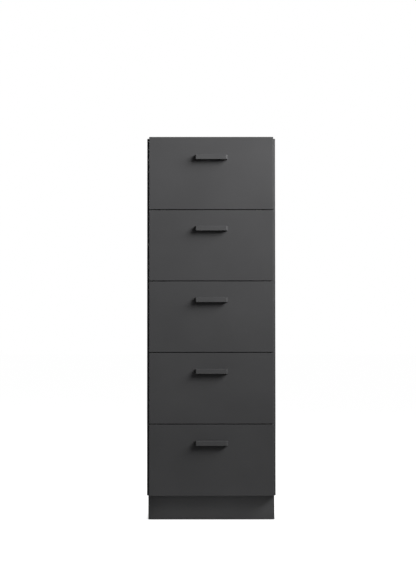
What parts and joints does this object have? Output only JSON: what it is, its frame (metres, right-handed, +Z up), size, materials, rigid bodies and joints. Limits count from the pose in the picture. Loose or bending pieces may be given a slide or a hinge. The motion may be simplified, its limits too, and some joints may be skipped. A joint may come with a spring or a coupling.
{
  "type": "tall chest of drawers",
  "caption": "Tall narrow chest with full-width drawers on ball-bearing runners, slim bar pulls with tapered ends, and a recessed plinth.",
  "frame": {"origin": "on the floor, under the middle of the whole chest, pulls included", "axes": "+Z up, +X to the right seen from the front, the drawers open towards -Y"},
  "size_m": [0.355, 0.414, 1.06],
  "materials": {
    "lacquered_front": "matt anthracite lacquer on MDF",
    "lacquered_carcass": "matt anthracite lacquer on MDF",
    "lacquered_plinth": "matt anthracite lacquer on MDF",
    "lacquered_pull": "cast zinc, powder-coated matt in the colour of the fronts",
    "hardboard_back": "hardboard, dark grey printed face",
    "drawer_board": "light grey foil on particle board",
    "drawer_bottom": "light grey hardboard",
    "zinc_plated_steel": "rolled steel strip, bright zinc plated",
    "screw_steel": "zinc-plated steel",
    "cast_zinc": "cast zinc alloy cams and steel bolts",
    "bracket_steel": "powder-coated steel plate",
    "beech_dowel": "ribbed beech",
    "glide_plastic": "black polyethylene"
  },
  "bodies": {
    "carcass": {"side_panel_left": "lacquered_carcass", "side_panel_right": "lacquered_carcass", "top_panel": "lacquered_carcass", "bottom_panel": "lacquered_carcass", "back_panel": "hardboard_back", "plinth_front": "lacquered_plinth", "plinth_back": "lacquered_plinth", "plinth_left": "lacquered_plinth", "plinth_right": "lacquered_plinth", "floor_glides": "glide_plastic", "cabinet_runners": "zinc_plated_steel", "corner_fittings": "cast_zinc", "corner_dowels": "beech_dowel", "carcass_screws": "screw_steel", "wall_bracket": "bracket_steel"},
    "drawer_1": {"drawer_1_front": "lacquered_front", "drawer_1_side_left": "drawer_board", "drawer_1_side_right": "drawer_board", "drawer_1_back": "drawer_board", "drawer_1_bottom": "drawer_bottom", "drawer_1_handle": "lacquered_pull", "drawer_1_runners": "zinc_plated_steel", "drawer_1_fasteners": "screw_steel"},
    "drawer_1_middle_runners": {"drawer_1_middle_runners": "zinc_plated_steel"},
    "drawer_2": {"drawer_2_front": "lacquered_front", "drawer_2_side_left": "drawer_board", "drawer_2_side_right": "drawer_board", "drawer_2_back": "drawer_board", "drawer_2_bottom": "drawer_bottom", "drawer_2_handle": "lacquered_pull", "drawer_2_runners": "zinc_plated_steel", "drawer_2_fasteners": "screw_steel"},
    "drawer_2_middle_runners": {"drawer_2_middle_runners": "zinc_plated_steel"},
    "drawer_3": {"drawer_3_front": "lacquered_front", "drawer_3_side_left": "drawer_board", "drawer_3_side_right": "drawer_board", "drawer_3_back": "drawer_board", "drawer_3_bottom": "drawer_bottom", "drawer_3_handle": "lacquered_pull", "drawer_3_runners": "zinc_plated_steel", "drawer_3_fasteners": "screw_steel"},
    "drawer_3_middle_runners": {"drawer_3_middle_runners": "zinc_plated_steel"},
    "drawer_4": {"drawer_4_front": "lacquered_front", "drawer_4_side_left": "drawer_board", "drawer_4_side_right": "drawer_board", "drawer_4_back": "drawer_board", "drawer_4_bottom": "drawer_bottom", "drawer_4_handle": "lacquered_pull", "drawer_4_runners": "zinc_plated_steel", "drawer_4_fasteners": "screw_steel"},
    "drawer_4_middle_runners": {"drawer_4_middle_runners": "zinc_plated_steel"},
    "drawer_5": {"drawer_5_front": "lacquered_front", "drawer_5_side_left": "drawer_board", "drawer_5_side_right": "drawer_board", "drawer_5_back": "drawer_board", "drawer_5_bottom": "drawer_bottom", "drawer_5_handle": "lacquered_pull", "drawer_5_runners": "zinc_plated_steel", "drawer_5_fasteners": "screw_steel"},
    "drawer_5_middle_runners": {"drawer_5_middle_runners": "zinc_plated_steel"}
  },
  "joints": [
    {"name": "drawer_1_slide", "type": "slide", "parent": "carcass", "child": "drawer_1", "axis": [0, -1, 0], "range_m": [0, 0.35]},
    {"name": "drawer_1_middle_runner_slide", "type": "slide", "parent": "carcass", "child": "drawer_1_middle_runners", "axis": [0, -1, 0], "range_m": [0, 0.175]},
    {"name": "drawer_2_slide", "type": "slide", "parent": "carcass", "child": "drawer_2", "axis": [0, -1, 0], "range_m": [0, 0.35]},
    {"name": "drawer_2_middle_runner_slide", "type": "slide", "parent": "carcass", "child": "drawer_2_middle_runners", "axis": [0, -1, 0], "range_m": [0, 0.175]},
    {"name": "drawer_3_slide", "type": "slide", "parent": "carcass", "child": "drawer_3", "axis": [0, -1, 0], "range_m": [0, 0.35]},
    {"name": "drawer_3_middle_runner_slide", "type": "slide", "parent": "carcass", "child": "drawer_3_middle_runners", "axis": [0, -1, 0], "range_m": [0, 0.175]},
    {"name": "drawer_4_slide", "type": "slide", "parent": "carcass", "child": "drawer_4", "axis": [0, -1, 0], "range_m": [0, 0.35]},
    {"name": "drawer_4_middle_runner_slide", "type": "slide", "parent": "carcass", "child": "drawer_4_middle_runners", "axis": [0, -1, 0], "range_m": [0, 0.175]},
    {"name": "drawer_5_slide", "type": "slide", "parent": "carcass", "child": "drawer_5", "axis": [0, -1, 0], "range_m": [0, 0.35]},
    {"name": "drawer_5_middle_runner_slide", "type": "slide", "parent": "carcass", "child": "drawer_5_middle_runners", "axis": [0, -1, 0], "range_m": [0, 0.175]}
  ],
  "couplings": [
    {"joint": "drawer_1_middle_runner_slide", "follows": "drawer_1_slide", "ratio": 0.5},
    {"joint": "drawer_2_middle_runner_slide", "follows": "drawer_2_slide", "ratio": 0.5},
    {"joint": "drawer_3_middle_runner_slide", "follows": "drawer_3_slide", "ratio": 0.5},
    {"joint": "drawer_4_middle_runner_slide", "follows": "drawer_4_slide", "ratio": 0.5},
    {"joint": "drawer_5_middle_runner_slide", "follows": "drawer_5_slide", "ratio": 0.5}
  ]
}
